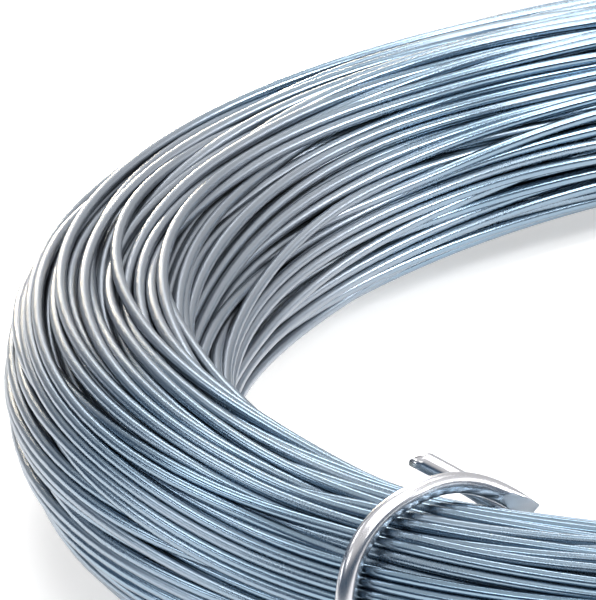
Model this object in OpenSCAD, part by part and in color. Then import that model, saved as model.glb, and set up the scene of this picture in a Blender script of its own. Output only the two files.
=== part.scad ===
// Coil of galvanized steel wire, bound by two short ties of thicker wire.
// The coil lies flat. The axis of the coil is Z, and Z = 0 is the floor under the ties.
// The front tie is at -Y and the back tie at +Y.

/* [Wire] */
// Diameter of the coiled wire
wire_d = 1.6; // [1.3:0.1:2]

/* [Coil] */
// Radius from the axis of the coil to the middle of the bundle
coil_r = 100; // [80:1:140]
// Thickness of the bundle of turns where the ties hold it
bundle_d = 31; // [24:1:38]
// How far the turns of the bundle's skin stand out of line with their neighbours
skin_stagger = 0.4; // [0.1:0.05:0.6]
// How far neighbouring turns of the skin run into each other, so that they are one solid
turn_lap = 0.03; // [0.02:0.01:0.1]

/* [Ties] */
// Diameter of the tie wire
tie_d = 2.8; // [2.2:0.1:3.4]
// Clearance between a tie and the turns that it holds
tie_clearance = 0.15; // [0.05:0.05:0.4]
// How far the upper end of a tie lies back along the bundle
tail_along = 9.5; // [6:0.5:14]
// How far the upper end of a tie stands off the bundle
tail_lift = 2.2; // [1:0.1:4]
// How far the over-lapping end of a tie leans along the bundle
lean_along = 9.5; // [7:0.5:14]
// How far along the bundle both ends of a tie go down into the eye
eye_along = 7; // [3:0.5:10]
// Height of the arch that the over-lapping end makes over the bundle
arch_lift = 1.1; // [0.4:0.1:2.5]
// Length of wire that the cutters pinched at each end of a tie
pinch_length = 3.2; // [2:0.1:5]
// Thickness left at the pinched edge
pinch_edge = 0.5; // [0.3:0.05:1]

/* [Hidden] */
coil_colour = "#a9b4be";
tie_colour = "#c3c8cb";

// Bundle
bundle_r = bundle_d / 2;
wire_r = wire_d / 2;
skin_r = bundle_r - wire_r - skin_stagger / 2;
turn_pitch = sqrt(pow(wire_d - turn_lap, 2) - skin_stagger * skin_stagger);
skin_turns = ceil(180 / asin(turn_pitch / 2 / skin_r));
bundle_z = tie_d + tie_clearance + bundle_r;
circle_fn = 48;
ring_fn = 180;

// Ties: an angle of 0 points outwards from the bundle, 90 up and 180 to the axis of the coil
tie_r = tie_d / 2;
loop_r = bundle_r + tie_clearance + tie_r;
tail_angle = 124;
tail_span = 36;
lap_angle = 495;
lean_angle = 390;
arch_angle = 395;
tie_rings = 72;
tie_sides = 12;

// Turns of the skin stand in and out by turns, in a pattern that does not repeat.
function stagger(turn) = skin_stagger / 2 * sin(turn * 137.5);

// Section through the bundle: a ring of round turns on a plain core of hidden turns.
// Even the turns that stand furthest out of line meet their neighbours.
module bundle_section() {
    circle(r = skin_r, $fn = circle_fn);
    for (turn = [0 : skin_turns - 1])
        rotate(turn * 360 / skin_turns)
            translate([skin_r + stagger(turn), 0])
                circle(r = wire_r, $fn = circle_fn);
}

module wire_coil() {
    color(coil_colour)
        rotate_extrude($fn = ring_fn)
            translate([coil_r, bundle_z])
                bundle_section();
}

// Fades from 1 at the tip of the tail to 0 where the tie lies against the bundle.
function tail_fade(angle) = pow(max(0, 1 - (angle - tail_angle) / tail_span), 2);
// Grows from 0 at the outer side of the bundle to 1 at the over-lapping tip.
function lap_share(angle) = max(0, (angle - lean_angle) / (lap_angle - lean_angle));
// Falls from 1 where the tail leaves the eye to 0 at the outer side of the bundle.
function root_share(angle) =
    let (share = (lean_angle - angle) / (lean_angle - tail_angle - tail_span))
    (1 - cos(180 * max(0, min(1, share)))) / 2;
function along(angle) =
    lean_along * pow(lap_share(angle), 1.4)
    + eye_along * root_share(angle)
    - (tail_along + eye_along) * tail_fade(angle);
function arch_share(angle) =
    angle < arch_angle ? 0 : pow(sin(180 * (angle - arch_angle) / (lap_angle - arch_angle)), 2);

// Point of the tie's centre line, which goes along the bundle by turning about the coil's axis.
function tie_point(angle) =
    let (
        reach = loop_r + tail_lift * tail_fade(angle) + arch_lift * arch_share(angle),
        out = coil_r + reach * cos(angle),
        round_coil = along(angle) / coil_r * 180 / PI
    )
    [out * cos(round_coil), out * sin(round_coil), bundle_z + reach * sin(angle)];

function unit(v) = v / norm(v);
function tie_angle(ring) = tail_angle + (lap_angle - tail_angle) * ring / tie_rings;
function tie_path() = [for (ring = [0 : tie_rings]) tie_point(tie_angle(ring))];
function path_length(path, ring) =
    ring == 0 ? 0 : path_length(path, ring - 1) + norm(path[ring] - path[ring - 1]);
// Thickness of the wire, from the pinched edge to the full diameter.
function pinch(distance) =
    let (share = min(1, distance / pinch_length))
    pinch_edge / tie_d + (1 - pinch_edge / tie_d) * sin(90 * share);

// Outline of the wire round one point of the path, flattened across the bundle near a cut end.
function tie_outline(path, ring, flat) =
    let (
        ahead = unit(path[min(ring + 1, tie_rings)] - path[max(ring - 1, 0)]),
        angle = tie_angle(ring),
        round_coil = along(angle) / coil_r * 180 / PI,
        radial = [cos(angle) * cos(round_coil), cos(angle) * sin(round_coil), sin(angle)],
        off = unit(radial - (radial * ahead) * ahead),
        side = cross(ahead, off)
    )
    [for (k = [0 : tie_sides - 1])
        let (turn = 360 * k / tie_sides)
        path[ring] + tie_r * (flat * cos(turn) * off + sin(turn) * side)];

module tie() {
    path = tie_path();
    total = path_length(path, tie_rings);
    outlines = [for (ring = [0 : tie_rings])
        let (run = path_length(path, ring))
        tie_outline(path, ring, pinch(min(run, total - run)))];
    points = [for (outline = outlines) each outline];
    walls = [for (ring = [0 : tie_rings - 1], k = [0 : tie_sides - 1])
        let (
            a = ring * tie_sides + k,
            b = ring * tie_sides + (k + 1) % tie_sides,
            c = b + tie_sides,
            d = a + tie_sides
        )
        each [[a, b, c], [a, c, d]]];
    first_cap = [for (k = [0 : tie_sides - 1]) tie_sides - 1 - k];
    last_cap = [for (k = [0 : tie_sides - 1]) tie_rings * tie_sides + k];
    color(tie_colour)
        polyhedron(points = points, faces = concat(walls, [first_cap, last_cap]));
}

module front_tie() {
    rotate(-90) tie();
}

module back_tie() {
    rotate(90) tie();
}

wire_coil();
front_tie();
back_tie();
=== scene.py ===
"""Coil of galvanized steel wire, lying flat and bound by two short ties of thicker wire."""

import logging
import math
from dataclasses import dataclass, field
from enum import Enum

import bpy
import numpy as np
from mathutils import Matrix, Vector


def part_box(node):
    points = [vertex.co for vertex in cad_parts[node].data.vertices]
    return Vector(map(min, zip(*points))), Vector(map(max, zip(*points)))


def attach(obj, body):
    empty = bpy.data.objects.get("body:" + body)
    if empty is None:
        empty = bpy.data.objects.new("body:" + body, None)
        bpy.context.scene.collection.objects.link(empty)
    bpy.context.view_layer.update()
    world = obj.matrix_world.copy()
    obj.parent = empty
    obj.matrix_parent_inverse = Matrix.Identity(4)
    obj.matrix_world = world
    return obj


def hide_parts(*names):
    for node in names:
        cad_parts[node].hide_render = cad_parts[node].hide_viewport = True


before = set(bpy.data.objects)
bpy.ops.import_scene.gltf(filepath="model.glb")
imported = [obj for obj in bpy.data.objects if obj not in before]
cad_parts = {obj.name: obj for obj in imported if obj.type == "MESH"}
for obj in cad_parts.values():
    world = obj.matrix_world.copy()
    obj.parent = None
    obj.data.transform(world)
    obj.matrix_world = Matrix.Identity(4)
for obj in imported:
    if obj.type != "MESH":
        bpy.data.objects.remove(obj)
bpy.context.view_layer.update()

LOG = logging.getLogger("coil")
TAU = 2.0 * math.pi
HEX_ROW = math.sqrt(3.0) / 2.0
QUAD = 4


class TieSide(Enum):
    """The two places where a tie holds the bundle, as angles round the coil in degrees."""

    FRONT = -90.0
    BACK = 90.0


class LampRole(Enum):
    """What each studio lamp is for."""

    OVERHEAD = "overhead"
    HIGH_RIGHT = "high_right"
    MID_RIGHT = "mid_right"
    LOW_RIGHT = "low_right"
    HIGH_FAR = "high_far"
    LOW_FAR = "low_far"
    NEAR = "near"
    NEAR_LEFT = "near_left"
    LOW_LEFT = "low_left"
    FAR_LEFT = "far_left"


def select_nothing() -> None:
    """Deselect every object, so that an operator acts on new pieces alone."""
    for item in list(bpy.context.selected_objects):
        item.select_set(False)
    bpy.context.view_layer.objects.active = None


def make_active(piece: bpy.types.Object) -> None:
    """Select one piece and make it active.

    Args:
        piece: The object that the next operators work on.
    """
    select_nothing()
    piece.select_set(True)
    bpy.context.view_layer.objects.active = piece


@dataclass(frozen=True)
class Wave:
    """A size that swells and shrinks twice round the coil.

    The size is mean * (1 + swell * cos(2 * (angle - peak))).
    """

    mean: float
    swell: float
    peak_deg: float

    def at(self, angle: np.ndarray) -> np.ndarray:
        """Return the size at the angles round the coil, given in radians."""
        turn = 2.0 * (np.asarray(angle) - math.radians(self.peak_deg))
        return self.mean * (1.0 + self.swell * np.cos(turn))


@dataclass(frozen=True)
class Hollow:
    """A place where the skin of the bundle is sunk, with a rim beside it that stands proud.

    Angles are in degrees: round the coil, and round the section from 'out' towards 'up'.
    """

    coil_deg: float
    section_deg: float
    coil_spread: float
    section_spread: float
    depth: float

    def at(self, coil: np.ndarray, section: np.ndarray) -> np.ndarray:
        """Return how far the skin is sunk, as a share of the bundle."""
        far = (np.degrees(coil) - self.coil_deg + 180.0) % 360.0 - 180.0
        off = (np.degrees(section) - self.section_deg + 180.0) % 360.0 - 180.0
        share = np.exp(-((far / self.coil_spread) ** 2) - (off / self.section_spread) ** 2)
        return self.depth * share


@dataclass(frozen=True)
class BundleShape:
    """The bundle of turns: pinched at the ties, fuller between them, a little flat on top.

    Angles go round the coil. In a section, 'out' is away from the coil's axis and 'up' is +Z.
    """

    ring: Wave
    half_width: Wave
    half_height: Wave
    underside: float
    squareness: float = 2.4
    hollows: tuple[Hollow, ...] = (
        Hollow(228.0, 152.0, 17.0, 13.0, 0.40),
        Hollow(223.0, 122.0, 22.0, 10.0, -0.03),
        Hollow(161.0, 147.0, 24.0, 11.0, 0.20),
        Hollow(266.0, 121.0, 10.0, 28.0, 0.068),
        Hollow(331.0, 60.0, 25.0, 16.0, 0.08),
        Hollow(71.0, 120.0, 25.0, 16.0, 0.08),
        Hollow(86.0, 121.0, 10.0, 28.0, 0.068),
    )

    @classmethod
    def from_frame(cls) -> "BundleShape":
        """Take the mean sizes from the solid coil.

        Returns:
            The shape, in metres.
        """
        low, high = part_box("wire_coil")
        bundle = (high[2] - low[2]) / 2.0
        ring = (high[0] - low[0]) / 2.0 - bundle
        return cls(
            ring=Wave(ring, 0.031, 5.4),
            half_width=Wave(bundle * 0.992, 0.147, -6.6),
            half_height=Wave(bundle * 0.962, 0.111, 37.4),
            underside=low[2],
        )

    def centre_height(self, angle: np.ndarray) -> np.ndarray:
        """Return the height of the bundle's middle: its underside is level all round."""
        return self.underside + self.half_height.at(angle)

    def spread(self, wire: np.ndarray, wide: np.ndarray, tall: np.ndarray) -> np.ndarray:
        """Return how near each point lies to the skin: 0 in the middle, 1 on the skin."""
        power = self.squareness
        across, along = np.abs(wire[..., 0] / wide), np.abs(wire[..., 1] / tall)
        return (across**power + along**power) ** (1.0 / power)

    def rounded(self, angle: np.ndarray) -> tuple[np.ndarray, np.ndarray]:
        """Return the (out, up) shares of the skin at angles round the section, in radians."""
        power = 2.0 / self.squareness
        cosine, sine = np.cos(angle), np.sin(angle)
        return np.sign(cosine) * np.abs(cosine) ** power, np.sign(sine) * np.abs(sine) ** power

    def point(self, angle: float, out: float, up: float) -> Vector:
        """Return a place given by its angle round the coil and its offsets in the section."""
        reach = float(self.ring.at(angle)) + out
        height = float(self.centre_height(angle)) + up
        return Vector((reach * math.cos(angle), reach * math.sin(angle), height))


@dataclass
class WirePacking:
    """Lays the turns of one wire into the bundle, so that they wander and cross side by side.

    The wire is a chain of points, one in each radial slice of each turn. Points of one slice
    push each other a wire apart, the chain stays smooth, and the skin holds all of them in.
    A slight press outwards fills the skin. A few neighbours end a little nearer than a wire.

    Jitter, reach, wander and proud are shares of the bundle's size. Rates are waves in a turn,
    and a shift, where the wire changes its place, lies at a share of a turn.
    """

    shape: BundleShape
    wire_r: float = 0.0008
    turns: int = 250
    slices: int = 144
    loose_end: int = 4
    seed: int = 7
    rounds: int = 400
    quick_rounds: int = 120
    refresh: int = 10
    neighbours: int = 12
    jitter: float = 0.02
    reach: float = 0.20
    wander: float = 0.016
    wander_waves: int = 60
    wander_rates: tuple[float, float] = (0.4, 3.0)
    shift_centres: tuple[float, float] = (0.3, 0.7)
    shift_widths: tuple[float, float] = (0.3, 0.8)
    proud: float = 0.016
    proud_waves: int = 40
    proud_rates: tuple[float, float] = (0.5, 3.0)
    stiffness: float = 10.0
    last_stiffness: float = 1.6
    thin_start: float = 0.45
    grown_by: float = 0.5
    spare: float = 1.005
    press: float = 0.0015
    settled: float = 0.8
    end_points: int = 60
    rng: np.random.Generator = field(init=False)

    def __post_init__(self) -> None:
        """Seed the random draws."""
        self.rng = np.random.default_rng(self.seed)

    @property
    def rows(self) -> int:
        """Number of turns, with one more at each end for the wire's loose ends."""
        return self.turns + 2

    def angles(self) -> np.ndarray:
        """Return the angle round the coil of each slice. The wire begins under the back tie."""
        start = math.radians(TieSide.BACK.value)
        return start + TAU * np.arange(self.slices) / self.slices

    def places(self) -> np.ndarray:
        """Return a close-packed place for each turn, in a circle of radius 1."""
        pitch = math.sqrt(math.pi / self.turns / HEX_ROW)
        for shrink in np.linspace(1.0, 1.25, 60):
            step = pitch / shrink
            rows = int(2.0 / (step * HEX_ROW)) + 3
            spots = [
                ((i + 0.5 * (j % 2)) * step, j * step * HEX_ROW)
                for j in range(-rows, rows + 1)
                for i in range(-rows, rows + 1)
            ]
            found = np.array([p for p in spots if math.hypot(*p) <= 1.0])
            if len(found) >= self.turns:
                break
        found = found[np.argsort((found**2).sum(1))[: self.turns]]
        found /= math.sqrt((found**2).sum(1).max())
        return found + self.rng.normal(0.0, self.jitter, found.shape)

    def winding_order(self, spots: np.ndarray) -> np.ndarray:
        """Order the places so that each turn lies near the one before.

        Args:
            spots: Places in a circle of radius 1.

        Returns:
            The same places, in the order in which the wire takes them.
        """
        left = np.ones(len(spots), bool)
        now = int(np.argmin(spots[:, 0]))
        order = [now]
        left[now] = False
        while left.any():
            free = np.flatnonzero(left)
            gap = np.hypot(*(spots[free] - spots[now]).T)
            weight = np.exp(-2.0 * (gap / self.reach) ** 2)
            if weight.sum() < 1e-6:
                now = int(free[np.argmin(gap)])
            else:
                now = int(self.rng.choice(free, p=weight / weight.sum()))
            order.append(now)
            left[now] = False
        return spots[order]

    def first_guess(self) -> np.ndarray:
        """Return the wire's points before they are pushed apart.

        Returns:
            An array of turns by slices by (out, up), in metres.
        """
        spots = self.winding_order(self.places())
        spots = np.vstack([spots[:1], spots, spots[-1:]])
        along = np.arange(self.slices) / self.slices
        wire = np.zeros((self.rows, self.slices, 2))
        for row in range(self.rows):
            centre = self.rng.uniform(*self.shift_centres)
            width = self.rng.uniform(*self.shift_widths)
            share = np.clip((along - centre) / width + 0.5, 0.0, 1.0)
            share = share * share * (3.0 - 2.0 * share)
            share = (share - share[0]) / (1.0 - share[0])
            target = spots[min(row + 1, self.rows - 1)]
            wire[row] = spots[row] + (target - spots[row]) * share[:, None]
        chain = wire.reshape(-1, 2)
        length = np.arange(len(chain)) / self.slices
        for _ in range(self.wander_waves):
            rate = self.rng.uniform(*self.wander_rates)
            phase = self.rng.uniform(0.0, TAU, 2)
            size = self.rng.normal(0.0, self.wander, 2)
            chain += size * np.sin(TAU * rate * length[:, None] + phase)
        return chain.reshape(self.rows, self.slices, 2)

    def skin_slack(self) -> np.ndarray:
        """Return how far each point may stand proud of the skin, as a share of the bundle."""
        length = np.arange(self.rows * self.slices) / self.slices
        slack = np.zeros_like(length)
        for _ in range(self.proud_waves):
            rate, phase = self.rng.uniform(*self.proud_rates), self.rng.uniform(0.0, TAU)
            slack += self.rng.normal(0.0, 1.0) * np.sin(TAU * rate * length + phase)
        slack = self.proud * slack / slack.std()
        free = np.sin(self.angles() - math.radians(TieSide.BACK.value)) ** 2
        return slack.reshape(self.rows, self.slices) * free

    def live(self) -> np.ndarray:
        """Return which points are wire: the first and last rows hold only the loose ends."""
        mask = np.ones((self.rows, self.slices), bool)
        mask[0, : self.slices - self.loose_end] = False
        mask[-1, self.loose_end :] = False
        return mask

    def pushes(self, section: np.ndarray, near: np.ndarray, spacing: float) -> np.ndarray:
        """Return the move that parts each point from those that lie too near.

        Args:
            section: Points by slice, as slices by turns by 2.
            near: For each point, the turns that lie nearest in its slice.
            spacing: How far apart the points have to be, in metres.

        Returns:
            Moves of the same shape as section.
        """
        rows = np.arange(self.slices)[:, None, None]
        apart = section[:, :, None] - section[rows, near]
        gap = np.sqrt((apart**2).sum(-1)) + 1e-12
        lack = np.clip(spacing - gap, 0.0, None)
        push = (apart / gap[..., None] * lack[..., None]).sum(2) * 0.5
        return push / np.maximum(1.0, (lack > 0.0).sum(2) * 0.5)[..., None]

    def smoothed(self, line: np.ndarray, stiffness: float) -> np.ndarray:
        """Take the short bends out of the wire, as its stiffness does.

        Args:
            line: Points of the whole wire, from end to end.
            stiffness: How much it resists bending: larger numbers smooth longer waves.

        Returns:
            The smoothed points.
        """
        spare = self.end_points
        before = 2.0 * line[0] - line[spare:0:-1]
        after = 2.0 * line[-1] - line[-2 : -spare - 2 : -1]
        whole = np.vstack([before, line, after])
        share = np.linspace(0.0, 1.0, len(whole))[:, None]
        chord = whole[:1] * (1.0 - share) + whole[-1:] * share
        folded = np.vstack([whole - chord, (chord - whole)[::-1]])
        rate = TAU * np.fft.rfftfreq(len(folded))
        waves = np.fft.rfft(folded, axis=0) / (1.0 + stiffness * rate**4)[:, None]
        whole = np.fft.irfft(waves, len(folded), axis=0)[: len(whole)] + chord
        return whole[spare : spare + len(line)]

    def relax(self) -> np.ndarray:
        """Push the turns apart, keep the wire smooth and hold it inside the skin.

        The wire starts thin and grows to its size, so that crossing turns find a way past.

        Returns:
            The wire's points in the section, as turns by slices by (out, up), in metres.
        """
        angles = self.angles()
        wide = (self.shape.half_width.at(angles) - self.wire_r)[None, :]
        tall = (self.shape.half_height.at(angles) - self.wire_r)[None, :]
        wire = self.first_guess() * np.stack([wide, tall], axis=-1)
        slack = 1.0 + self.skin_slack()
        live = self.live()
        for row, cut in zip(*np.where(~live)):
            wire[row, cut] = (10.0 + row, 0.0)
        first, last = np.flatnonzero(live.reshape(-1))[[0, -1]]
        rounds = self.rounds
        own = np.arange(self.rows)
        near = np.empty(0, int)
        for number in range(rounds):
            section = wire.transpose(1, 0, 2)
            if number % self.refresh == 0:
                gaps = ((section[:, :, None] - section[:, None]) ** 2).sum(-1)
                gaps[:, own, own] = math.inf
                near = np.argpartition(gaps, self.neighbours, axis=2)[:, :, : self.neighbours]
            late = (1.0 - self.thin_start) * number / (self.grown_by * rounds)
            grown = min(1.0, self.thin_start + late)
            spacing = 2.0 * self.spare * self.wire_r * grown
            wire = wire + self.pushes(section, near, spacing).transpose(1, 0, 2)
            settling = number < self.settled * rounds
            if settling:
                inner = np.clip(1.0 - self.shape.spread(wire, wide, tall), 0.0, None) * live
                wire = wire * (1.0 + self.press * inner)[..., None]
            chain = wire.reshape(-1, 2).copy()
            stiffness = self.stiffness if settling else self.last_stiffness
            chain[first : last + 1] = self.smoothed(chain[first : last + 1], stiffness)
            wire = chain.reshape(self.rows, self.slices, 2)
            spread = self.shape.spread(wire, wide, tall)
            around = np.arctan2(wire[..., 1], wire[..., 0])
            limit = slack - sum(h.at(angles[None, :], around) for h in self.shape.hollows)
            wire = wire * np.where((spread > limit) & live, limit / spread, 1.0)[..., None]
        return wire

    def chain(self) -> tuple[np.ndarray, np.ndarray]:
        """Return the wire as one line of points in space.

        Returns:
            The points, and for each the direction out from the coil's axis.
        """
        wire = self.relax()
        keep = self.live().reshape(-1)
        angles = np.tile(self.angles(), self.rows)[keep]
        flat = wire.reshape(-1, 2)[keep]
        out = np.stack([np.cos(angles), np.sin(angles), np.zeros_like(angles)], axis=1)
        line = out * (self.shape.ring.at(angles) + flat[:, 0])[:, None]
        line[:, 2] = self.shape.centre_height(angles) + flat[:, 1]
        return line, out


@dataclass(frozen=True)
class ZincCoat:
    """The look of a zinc coat: blue-grey metal, part bright and part frosted.

    Lengths are in metres. A stretch is the scale of a pattern along the wire: small numbers
    make long streaks. Round one place near the coil's left side the coat is frosted: the extra
    roughness there is frosted zinc, and the warmer, less blue tint there is painted warm light.
    make long streaks.
    """

    name: str
    bright: tuple[float, float, float]
    frosted: tuple[float, float, float]
    smooth: float = 0.22
    rough: float = 0.38
    grain_m: float = 0.00035
    grain_detail: float = 2.0
    speck_range: tuple[float, float] = (0.35, 0.7)
    speck_change: float = 0.08
    patch_m: float = 0.018
    patch_detail: float = 4.0
    patch_stretch: float = 0.25
    patch_range: tuple[float, float] = (0.40, 0.68)
    patch_most: float = 0.6
    streak_share: float = 0.35
    streak_detail: float = 3.0
    streak_stretch: float = 0.02
    # Painted warm light: round this place, near the coil's left side, the coat takes the warmer,
    # less blue frosted tint that warm light would give. Its extra roughness there is frosted
    # zinc.
    frost_and_warm_light_place: tuple[float, float, float] = (-0.085, -0.045, 0.03)
    frost_and_warm_light_reach: float = 0.075
    frost_and_warm_light_core: float = 0.4
    groove_bump: float = 0.05
    groove_m: float = 0.00005
    grain_bump: float = 0.012
    grain_deep_m: float = 0.00003

    def material(self, wire_r: float) -> bpy.types.Material:
        """Build the material from procedural nodes.

        Args:
            wire_r: Radius of the wire that wears the coat, in metres.

        Returns:
            The new material. It reads the piece's own UV map: U round the wire, V in metres.
        """
        material = bpy.data.materials.new(self.name)
        material.use_nodes = True
        tree = material.node_tree
        tree.nodes.clear()
        make, link = tree.nodes.new, tree.links.new
        output = make("ShaderNodeOutputMaterial")
        shader = make("ShaderNodeBsdfPrincipled")
        shader.inputs["Metallic"].default_value = 1.0
        link(shader.outputs["BSDF"], output.inputs["Surface"])

        lengthwise = self._wrapped(tree, wire_r, self.streak_stretch)
        streaks = self._noise(
            tree, lengthwise, 1.0 / (wire_r * self.streak_share), self.streak_detail
        )
        blotchy = self._wrapped(tree, wire_r, self.patch_stretch)
        patches = self._noise(tree, blotchy, 1.0 / self.patch_m, self.patch_detail)
        place = make("ShaderNodeTexCoord").outputs["Object"]
        grain = self._noise(tree, place, 1.0 / self.grain_m, self.grain_detail)

        # Painted warm light: a spot near the coil's left side, found from Object coordinates,
        # turns the coat to the warmer, less blue frosted tint. Its extra roughness is frosted
        # zinc.
        away = make("ShaderNodeVectorMath")
        away.operation = "DISTANCE"
        away.inputs[1].default_value = self.frost_and_warm_light_place
        link(place, away.inputs[0])
        core = self.frost_and_warm_light_core * self.frost_and_warm_light_reach
        frost_and_painted_warm_light = fade(tree, away.outputs["Value"], self.frost_and_warm_light_reach, core)
        spots = self._range(tree, patches, *self.patch_range, 0.0, self.patch_most)
        frost_and_warm_tint = make("ShaderNodeMath")
        frost_and_warm_tint.operation = "MAXIMUM"
        link(spots, frost_and_warm_tint.inputs[0])
        link(frost_and_painted_warm_light, frost_and_warm_tint.inputs[1])
        change = self.speck_change
        speck = self._range(tree, grain, *self.speck_range, -change, change)
        mixed = make("ShaderNodeMath")
        mixed.operation = "ADD"
        mixed.use_clamp = True
        link(frost_and_warm_tint.outputs[0], mixed.inputs[0])
        link(speck, mixed.inputs[1])

        tint = make("ShaderNodeMix")
        tint.data_type = "RGBA"
        tint.inputs["A"].default_value = (*self.bright, 1.0)
        tint.inputs["B"].default_value = (*self.frosted, 1.0)
        link(mixed.outputs[0], tint.inputs["Factor"])
        link(tint.outputs["Result"], shader.inputs["Base Color"])
        link(
            self._range(tree, mixed.outputs[0], 0.0, 1.0, self.smooth, self.rough),
            shader.inputs["Roughness"],
        )

        grooves = make("ShaderNodeBump")
        grooves.inputs["Strength"].default_value = self.groove_bump
        grooves.inputs["Distance"].default_value = self.groove_m
        link(streaks, grooves.inputs["Height"])
        frosting = make("ShaderNodeBump")
        frosting.inputs["Strength"].default_value = self.grain_bump
        frosting.inputs["Distance"].default_value = self.grain_deep_m
        link(grain, frosting.inputs["Height"])
        link(grooves.outputs["Normal"], frosting.inputs["Normal"])
        link(frosting.outputs["Normal"], shader.inputs["Normal"])
        return material

    @staticmethod
    def _noise(
        tree: bpy.types.NodeTree, place: bpy.types.NodeSocket, scale: float, detail: float
    ) -> bpy.types.NodeSocket:
        """Add a noise texture and return its factor."""
        noise = tree.nodes.new("ShaderNodeTexNoise")
        noise.inputs["Scale"].default_value = scale
        noise.inputs["Detail"].default_value = detail
        tree.links.new(place, noise.inputs["Vector"])
        return noise.outputs["Fac"]

    @staticmethod
    def _range(
        tree: bpy.types.NodeTree,
        value: bpy.types.NodeSocket,
        low: float,
        high: float,
        to_low: float,
        to_high: float,
    ) -> bpy.types.NodeSocket:
        """Map a value from one range to another and return the result."""
        node = tree.nodes.new("ShaderNodeMapRange")
        for socket, number in zip(list(node.inputs)[1:5], (low, high, to_low, to_high)):
            socket.default_value = number
        tree.links.new(value, node.inputs["Value"])
        return node.outputs["Result"]

    @staticmethod
    def _wrapped(tree: bpy.types.NodeTree, wire_r: float, stretch: float) -> bpy.types.NodeSocket:
        """Turn the UV map into a place on the wire that has no seam.

        Args:
            tree: The node tree to add to.
            wire_r: Radius of the wire, in metres.
            stretch: Scale of the pattern along the wire.

        Returns:
            A vector socket, in metres.
        """
        make, link = tree.nodes.new, tree.links.new
        split = make("ShaderNodeSeparateXYZ")
        link(make("ShaderNodeUVMap").outputs["UV"], split.inputs["Vector"])
        join = make("ShaderNodeCombineXYZ")
        for number, operation in enumerate(("COSINE", "SINE")):
            turn = make("ShaderNodeMath")
            turn.operation = "MULTIPLY"
            turn.inputs[1].default_value = TAU
            link(split.outputs["X"], turn.inputs[0])
            wave = make("ShaderNodeMath")
            wave.operation = operation
            link(turn.outputs[0], wave.inputs[0])
            size = make("ShaderNodeMath")
            size.operation = "MULTIPLY"
            size.inputs[1].default_value = wire_r
            link(wave.outputs[0], size.inputs[0])
            link(size.outputs[0], join.inputs[number])
        along = make("ShaderNodeMath")
        along.operation = "MULTIPLY"
        along.inputs[1].default_value = stretch
        link(split.outputs["Y"], along.inputs[0])
        link(along.outputs[0], join.inputs["Z"])
        return join.outputs["Vector"]


def tube(
    name: str, line: np.ndarray, out: np.ndarray, radius: float, sides: int, start: float
) -> bpy.types.Object:
    """Make a round wire along a line of points, closed at both ends.

    Args:
        name: Name of the new object.
        line: Points of the wire's middle, in metres.
        out: For each point, a direction across the wire that sets where U is 0.
        radius: Radius of the wire, in metres.
        sides: Number of faces round the wire.
        start: Length of wire before the first point, for the UV map.

    Returns:
        The new object, with a UV map: U round the wire, V the length in metres.
    """
    ahead = np.gradient(line, axis=0)
    ahead /= np.linalg.norm(ahead, axis=1)[:, None]
    across = out - (out * ahead).sum(1)[:, None] * ahead
    across /= np.linalg.norm(across, axis=1)[:, None]
    side = np.cross(ahead, across)
    turn = TAU * np.arange(sides) / sides
    cosine, sine = np.cos(turn)[None, :, None], np.sin(turn)[None, :, None]
    ring = cosine * across[:, None] + sine * side[:, None]
    points = (line[:, None] + radius * ring).reshape(-1, 3)
    count = len(line)
    row, k = np.meshgrid(np.arange(count - 1), np.arange(sides), indexing="ij")
    a, b = row * sides + k, row * sides + (k + 1) % sides
    quads = np.stack([a, b, b + sides, a + sides], axis=-1).reshape(-1)
    caps = np.concatenate([np.arange(sides)[::-1], (count - 1) * sides + np.arange(sides)])
    loops = np.concatenate([quads, caps])
    faces = (count - 1) * sides
    starts = np.concatenate([np.arange(faces) * QUAD, [faces * QUAD, faces * QUAD + sides]])

    mesh = bpy.data.meshes.new(name)
    mesh.vertices.add(len(points))
    mesh.vertices.foreach_set("co", points.astype(np.float32).reshape(-1))
    mesh.loops.add(len(loops))
    mesh.loops.foreach_set("vertex_index", loops.astype(np.int32))
    mesh.polygons.add(faces + 2)
    mesh.polygons.foreach_set("loop_start", starts.astype(np.int32))
    mesh.update(calc_edges=True)
    steps = np.linalg.norm(np.diff(line, axis=0), axis=1)
    length = start + np.concatenate([[0.0], np.cumsum(steps)])
    around = np.stack([k, k + 1, k + 1, k], axis=-1) / sides
    along = np.stack([length[row], length[row], length[row + 1], length[row + 1]], axis=-1)
    uv = np.stack([around, along], axis=-1).reshape(-1, 2)
    ends = np.zeros((2 * sides, 2))
    ends[:sides, 1], ends[sides:, 1] = length[0], length[-1]
    layer = mesh.uv_layers.new(name="UVMap")
    layer.data.foreach_set("uv", np.vstack([uv, ends]).astype(np.float32).reshape(-1))
    smooth = np.ones(faces + 2, bool)
    smooth[-2:] = False
    mesh.polygons.foreach_set("use_smooth", smooth)
    mesh.validate()
    piece = bpy.data.objects.new(name, mesh)
    bpy.context.scene.collection.objects.link(piece)
    return piece


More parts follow.
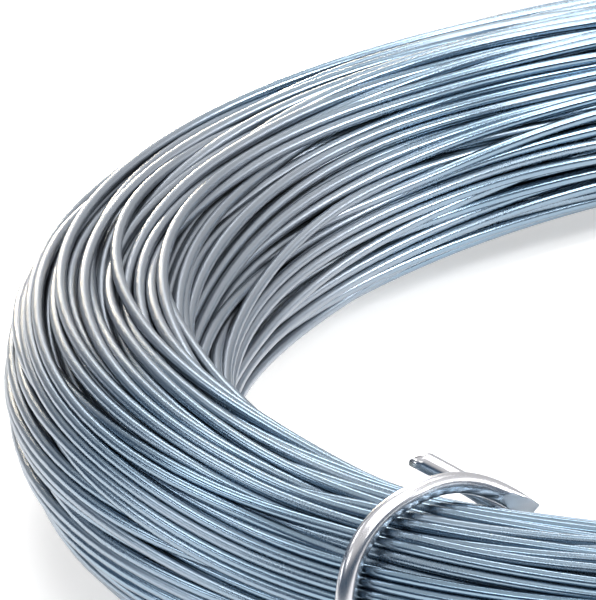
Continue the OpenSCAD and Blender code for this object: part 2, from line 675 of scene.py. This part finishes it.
@dataclass
class CoilOfWire:
    """The one long wire, wound into the coil."""

    packing: WirePacking
    coat: ZincCoat
    sides: int = 10
    parts: int = 5

    def build(self) -> list[bpy.types.Object]:
        """Make the wire in a few lengths that meet end to end.

        Returns:
            The pieces, riding on the coil's body and standing for its solid.
        """
        line, out = self.packing.chain()
        material = self.coat.material(self.packing.wire_r)
        step = math.ceil((len(line) - 1) / self.parts)
        pieces, length = [], 0.0
        for number in range(self.parts):
            low, high = number * step, min((number + 1) * step, len(line) - 1)
            run = line[low : high + 1]
            name = f"wire_length_{number + 1}"
            piece = tube(name, run, out[low : high + 1], self.packing.wire_r, self.sides, length)
            length += float(np.linalg.norm(np.diff(run, axis=0), axis=1).sum())
            piece.data.materials.append(material)
            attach(piece, "root")
            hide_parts("wire_coil")
            pieces.append(piece)
            LOG.info("%s: %d points", piece.name, len(run))
        LOG.info("wire in the coil: %.1f m", length)
        return pieces


@dataclass(frozen=True)
class PinchCut:
    """The end of a wire as pincers leave it: a long and a short slant with a blunt edge between.

    The long slant faces turn_deg round the wire, from 'off the bundle'. The edge lies across the
    wire at a share of its radius: 0 in the middle, -1 on the side away from the long slant.
    Slants and half the edge's width are in metres.
    """

    long_slant: float
    short_slant: float
    turn_deg: float
    edge_share: float
    edge_half: float = 0.0003


@dataclass
class TieWire:
    """A short wire bent round the bundle, its ends crossed on top and cut with pincers.

    Angles round the bundle are 0 outwards, 90 up and 180 towards the coil's axis, in degrees.
    Lengths are in metres, and go along the bundle or off it.
    """

    shape: BundleShape
    place: TieSide
    coat: ZincCoat
    node: str
    wire_r: float = 0.0014
    clearance: float = 0.00015
    tail_angle: float = 130.0
    tail_span: float = 40.5
    lap_angle: float = 510.0
    lean_angle: float = 360.0
    lean_power: float = 3.0
    arch_angle: float = 405.0
    tail_along: float = 0.0089
    tail_lift: float = 0.00147
    lean_along: float = 0.0103
    eye_along: float = 0.0071
    arch_lift: float = 0.0002
    rings: int = 150
    sides: int = 24
    tail_cut: PinchCut = PinchCut(0.0021, 0.0004, 0.0, -0.75)
    lap_cut: PinchCut = PinchCut(0.0050, 0.0010, 130.0, -0.5)
    cut_reach: float = 3.0
    cut_colour: tuple[float, float, float] = (0.50, 0.50, 0.51)
    cut_rough: float = 0.42

    def middle(self) -> tuple[np.ndarray, np.ndarray]:
        """Return the line that the tie follows.

        Returns:
            The points of the wire's middle, and for each the direction off the bundle.
        """
        base = math.radians(self.place.value)
        ring = float(self.shape.ring.at(base))
        angle = np.linspace(self.tail_angle, self.lap_angle, self.rings)
        tail = np.clip(1.0 - (angle - self.tail_angle) / self.tail_span, 0.0, 1.0) ** 2
        lap = np.clip((angle - self.lean_angle) / (self.lap_angle - self.lean_angle), 0.0, 1.0)
        root = (self.lean_angle - angle) / (self.lean_angle - self.tail_angle - self.tail_span)
        root = (1.0 - np.cos(math.pi * np.clip(root, 0.0, 1.0))) / 2.0
        along = self.lean_along * lap**self.lean_power + self.eye_along * root
        along = along - (self.tail_along + self.eye_along) * tail
        arch = np.clip((angle - self.arch_angle) / (self.lap_angle - self.arch_angle), 0.0, 1.0)
        lift = self.tail_lift * tail + self.arch_lift * np.sin(math.pi * arch) ** 2
        turn = base + along / ring
        off = self.clearance + self.wire_r + lift
        level, upright = self.shape.rounded(np.radians(angle))
        out = (self.shape.half_width.at(turn) + off) * level
        up = (self.shape.half_height.at(turn) + off) * upright
        line = np.array([self.shape.point(t, o, u) for t, o, u in zip(turn, out, up)])
        flat, rise = np.cos(np.radians(angle)), np.sin(np.radians(angle))
        return line, np.stack([flat * np.cos(turn), flat * np.sin(turn), rise], axis=1)

    def cut_end(
        self, piece: bpy.types.Object, tip: Vector, ahead: Vector, off: Vector, cut: PinchCut
    ) -> None:
        """Cut one end with two slanting cuts, as pincers leave it.

        Args:
            piece: The tie, still whole at this end.
            tip: The end of the wire's middle.
            ahead: Direction out of the wire at that end.
            off: Direction across the wire that leads off the bundle.
            cut: The slants and where their edge lies.
        """
        turn = math.radians(cut.turn_deg)
        facing = math.cos(turn) * off + math.sin(turn) * ahead.cross(off)
        edge = tip + facing * cut.edge_share * self.wire_r
        make_active(piece)
        for way, slant in ((1.0, cut.long_slant), (-1.0, cut.short_slant)):
            depth = self.wire_r * (1.0 - way * cut.edge_share)
            slope = Vector(facing * way * slant + ahead * depth).normalized()
            place = edge + facing * way * cut.edge_half
            bpy.ops.object.mode_set(mode="EDIT")
            bpy.ops.mesh.select_all(action="DESELECT")
            bpy.ops.object.mode_set(mode="OBJECT")
            near = self.cut_reach * self.wire_r + slant
            for face in piece.data.polygons:
                if all((piece.data.vertices[v].co - tip).length < near for v in face.vertices):
                    face.select = True
            bpy.ops.object.mode_set(mode="EDIT")
            bpy.ops.mesh.bisect(plane_co=place, plane_no=slope, use_fill=True, clear_outer=True)
            bpy.ops.object.mode_set(mode="OBJECT")

    def bare_metal(self) -> bpy.types.Material:
        """Return the plain grey metal of a cut face."""
        material = bpy.data.materials.new(f"{self.node}_cut")
        material.use_nodes = True
        shader = material.node_tree.nodes["Principled BSDF"]
        shader.inputs["Base Color"].default_value = (*self.cut_colour, 1.0)
        shader.inputs["Metallic"].default_value = 1.0
        shader.inputs["Roughness"].default_value = self.cut_rough
        return material

    def build(self) -> bpy.types.Object:
        """Make the tie.

        Returns:
            The piece, riding on the coil's body and standing for its solid.
        """
        line, away = self.middle()
        piece = tube(f"{self.node}_wire", line, away, self.wire_r, self.sides, 0.0)
        for number, beyond, cut in ((0, 1, self.tail_cut), (-1, -2, self.lap_cut)):
            tip = Vector(line[number])
            ahead = (tip - Vector(line[beyond])).normalized()
            off = Vector(away[number])
            off = (off - off.dot(ahead) * ahead).normalized()
            self.cut_end(piece, tip, ahead, off, cut)
        piece.data.materials.append(self.coat.material(self.wire_r))
        piece.data.materials.append(self.bare_metal())
        for face in piece.data.polygons:
            if len(face.vertices) > QUAD:
                face.material_index, face.use_smooth = 1, False
        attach(piece, "root")
        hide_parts(self.node)
        LOG.info("%s: %d faces", piece.name, len(piece.data.polygons))
        return piece


@dataclass(frozen=True)
class Lamp:
    """A soft rectangular lamp that shines at the coil."""

    role: LampRole
    place: tuple[float, float, float]
    width: float
    height: float
    power: float
    colour: tuple[float, float, float] = (1.0, 1.0, 1.0)

    def build(self, aim: Vector) -> bpy.types.Object:
        """Add the lamp and turn it to a place.

        Args:
            aim: The place that the lamp faces.

        Returns:
            The lamp.
        """
        light = bpy.data.lights.new(f"lamp_{self.role.value}", "AREA")
        light.shape = "RECTANGLE"
        light.size, light.size_y = self.width, self.height
        light.energy, light.color = self.power, self.colour
        lamp = bpy.data.objects.new(light.name, light)
        lamp.location = self.place
        lamp.rotation_euler = (aim - Vector(self.place)).to_track_quat("-Z", "Y").to_euler()
        bpy.context.scene.collection.objects.link(lamp)
        return lamp


@dataclass
class Studio:
    """A pale floor, soft lamps, and a white surround with dusk low down, save on the far side.

    The dusk grows downwards from dusk_top over dusk_depth, as parts of a direction's Z. Round
    about, it grows between two cosines of the angle from dusk_side, given in dusk_turn.
    """

    floor_half: float = 6.0
    floor_colour: tuple[float, float, float] = (0.88, 0.88, 0.885)
    floor_rough: float = 0.9
    floor_lift: float = 0.45
    surround: float = 0.30
    dusk_colour: tuple[float, float, float] = (0.03, 0.085, 0.16)
    dusk_side: float = -85.0
    dusk_top: float = 0.74
    dusk_depth: float = 0.35
    dusk_turn: tuple[float, float] = (-0.8, 0.0)
    aim: tuple[float, float, float] = (0.0, 0.0, 0.02)
    lamps: tuple[Lamp, ...] = (
        Lamp(LampRole.OVERHEAD, (0.0, 0.0, 2.2), 1.2, 1.2, 21.0),
        Lamp(LampRole.HIGH_RIGHT, (1.00, 0.09, 1.73), 0.9, 0.5, 25.0, (1.0, 0.99, 0.97)),
        Lamp(LampRole.MID_RIGHT, (1.34, 0.0, 1.12), 0.8, 0.3, 12.0, (1.0, 0.99, 0.97)),
        Lamp(LampRole.LOW_RIGHT, (1.24, 1.04, 0.655), 0.6, 0.28, 19.0),
        Lamp(LampRole.HIGH_FAR, (0.0, 0.97, 1.75), 0.6, 0.4, 7.5, (1.0, 0.99, 0.97)),
        Lamp(LampRole.LOW_FAR, (-1.38, 1.04, 0.20), 0.40, 0.16, 11.0, (1.0, 0.84, 0.62)),
        Lamp(LampRole.NEAR, (-0.47, -1.30, 1.08), 0.40, 0.20, 2.6),
        Lamp(LampRole.NEAR_LEFT, (-1.26, -0.34, 1.09), 0.55, 0.25, 3.2),
        Lamp(LampRole.LOW_LEFT, (-1.45, -0.84, 0.45), 0.50, 0.18, 2.5),
        Lamp(LampRole.FAR_LEFT, (-0.98, 0.98, 1.08), 0.50, 0.25, 4.2),
    )

    def build(self) -> None:
        """Add the floor, the surround and the lamps."""
        select_nothing()
        bpy.ops.mesh.primitive_plane_add(size=2.0 * self.floor_half, location=(0.0, 0.0, 0.0))
        floor = bpy.context.active_object
        floor.name = "floor"
        floor.data.materials.append(self.floor_material())
        self.build_surround()
        for lamp in self.lamps:
            lamp.build(Vector(self.aim))

    def floor_material(self) -> bpy.types.Material:
        """Return a matt pale floor that keeps shadows and looks white to the camera."""
        material = bpy.data.materials.new("floor_paper")
        material.use_nodes = True
        tree = material.node_tree
        shader = tree.nodes["Principled BSDF"]
        shader.inputs["Base Color"].default_value = (*self.floor_colour, 1.0)
        shader.inputs["Roughness"].default_value = self.floor_rough
        shader.inputs["Emission Color"].default_value = (1.0, 1.0, 1.0, 1.0)
        strength = tree.nodes.new("ShaderNodeMath")
        strength.operation = "MULTIPLY"
        strength.inputs[1].default_value = self.floor_lift
        tree.links.new(seen_ray(tree), strength.inputs[0])
        tree.links.new(strength.outputs[0], shader.inputs["Emission Strength"])
        return material

    def build_surround(self) -> None:
        """Make the world white where it is seen or mirrored, and softer where it lights.

        The low part of it is dusky blue, save on the far side.
        """
        world = bpy.data.worlds.new("surround")
        bpy.context.scene.world = world
        world.use_nodes = True
        tree = world.node_tree
        make, link = tree.nodes.new, tree.links.new
        sky = tree.nodes["Background"]
        way = make("ShaderNodeTexCoord").outputs["Generated"]
        split = make("ShaderNodeSeparateXYZ")
        link(way, split.inputs["Vector"])
        low = fade(tree, split.outputs["Z"], self.dusk_top, self.dusk_top - self.dusk_depth)
        side = make("ShaderNodeVectorMath")
        side.operation = "DOT_PRODUCT"
        turn = math.radians(self.dusk_side)
        side.inputs[1].default_value = (math.cos(turn), math.sin(turn), 0.0)
        link(way, side.inputs[0])
        near = fade(tree, side.outputs["Value"], *self.dusk_turn)
        share = make("ShaderNodeMath")
        share.operation = "MULTIPLY"
        link(low, share.inputs[0])
        link(near, share.inputs[1])
        colour = make("ShaderNodeMix")
        colour.data_type = "RGBA"
        colour.inputs["A"].default_value = (1.0, 1.0, 1.0, 1.0)
        colour.inputs["B"].default_value = (*self.dusk_colour, 1.0)
        link(share.outputs[0], colour.inputs["Factor"])
        link(colour.outputs["Result"], sky.inputs["Color"])
        strength = make("ShaderNodeMapRange")
        strength.inputs["To Min"].default_value = self.surround
        strength.inputs["To Max"].default_value = 1.0
        link(seen_ray(tree), strength.inputs["Value"])
        link(strength.outputs["Result"], sky.inputs["Strength"])


def fade(
    tree: bpy.types.NodeTree, value: bpy.types.NodeSocket, start: float, end: float
) -> bpy.types.NodeSocket:
    """Grow smoothly from 0 where the value is at start to 1 where it is at end.

    Args:
        tree: The node tree to add to.
        value: The socket to read.
        start: Value that gives 0.
        end: Value that gives 1, which may be the smaller of the two.

    Returns:
        A value socket.
    """
    node = tree.nodes.new("ShaderNodeMapRange")
    node.interpolation_type = "SMOOTHSTEP"
    low, high = min(start, end), max(start, end)
    node.inputs["From Min"].default_value = low
    node.inputs["From Max"].default_value = high
    node.inputs["To Min"].default_value = 0.0 if start < end else 1.0
    node.inputs["To Max"].default_value = 1.0 if start < end else 0.0
    tree.links.new(value, node.inputs["Value"])
    return node.outputs["Result"]


def seen_ray(tree: bpy.types.NodeTree) -> bpy.types.NodeSocket:
    """Return 1 where a ray comes from the camera, a mirror or glass, and 0 elsewhere.

    Args:
        tree: The node tree to add to.

    Returns:
        A value socket.
    """
    path = tree.nodes.new("ShaderNodeLightPath")
    total = path.outputs["Is Camera Ray"]
    for name in ("Is Glossy Ray", "Is Transmission Ray"):
        add = tree.nodes.new("ShaderNodeMath")
        add.operation = "MAXIMUM"
        tree.links.new(total, add.inputs[0])
        tree.links.new(path.outputs[name], add.inputs[1])
        total = add.outputs[0]
    return total


@dataclass(frozen=True)
class ViewCamera:
    """A long lens that looks down on the left part of the coil.

    Distances are shares of the ring's radius, and angles are in degrees. The lens and its film
    are in millimetres, and what it shows lies between nearest and farthest, in metres.
    """

    away: float = 13.469
    above: float = 5.612
    azimuth: float = -50.6
    pan: float = -3.223
    tilt: float = 0.489
    roll: float = -8.083
    lens: float = 656.2
    film: float = 36.0
    nearest: float = 0.05
    farthest: float = 50.0

    def build(self, shape: BundleShape) -> bpy.types.Object:
        """Add the camera.

        Args:
            shape: The bundle that the camera looks at.

        Returns:
            The scene's camera.
        """
        size, around = shape.ring.mean, math.radians(self.azimuth)
        height = shape.underside + shape.half_height.mean
        middle = Vector((0.0, 0.0, height))
        place = middle + size * Vector(
            (self.away * math.cos(around), self.away * math.sin(around), self.above)
        )
        ahead = (middle - place).normalized()
        bearing = math.atan2(ahead.x, ahead.y) + math.radians(self.pan)
        rise = math.asin(ahead.z) + math.radians(self.tilt)
        ahead = Vector(
            (
                math.sin(bearing) * math.cos(rise),
                math.cos(bearing) * math.cos(rise),
                math.sin(rise),
            )
        )
        level = ahead.cross(Vector((0.0, 0.0, 1.0))).normalized()
        upright = level.cross(ahead)
        roll = math.radians(self.roll)
        right = math.cos(roll) * level + math.sin(roll) * upright
        up = -math.sin(roll) * level + math.cos(roll) * upright
        turned = Matrix((right, up, -ahead)).transposed().to_4x4()
        data = bpy.data.cameras.new("view_camera")
        data.lens, data.sensor_width = self.lens, self.film
        data.clip_start, data.clip_end = self.nearest, self.farthest
        camera = bpy.data.objects.new("view_camera", data)
        camera.matrix_world = Matrix.Translation(place) @ turned
        bpy.context.scene.collection.objects.link(camera)
        bpy.context.scene.camera = camera
        return camera


def main() -> None:
    """Build the camera, the coil, the ties and the studio."""
    logging.basicConfig(level=logging.INFO, format="%(name)s: %(message)s")
    shape = BundleShape.from_frame()
    ViewCamera().build(shape)
    coil_coat = ZincCoat("zinc_coil", bright=(0.19, 0.27, 0.345), frosted=(0.235, 0.26, 0.295))
    tie_coat = ZincCoat(
        "zinc_tie", bright=(0.48, 0.48, 0.50), frosted=(0.42, 0.41, 0.43), smooth=0.24, rough=0.36
    )
    CoilOfWire(WirePacking(shape), coil_coat).build()
    TieWire(shape, TieSide.FRONT, tie_coat, "front_tie").build()
    TieWire(shape, TieSide.BACK, tie_coat, "back_tie").build()
    Studio().build()
    bpy.context.scene.view_settings.view_transform = "Standard"


if __name__ == "__main__":
    main()
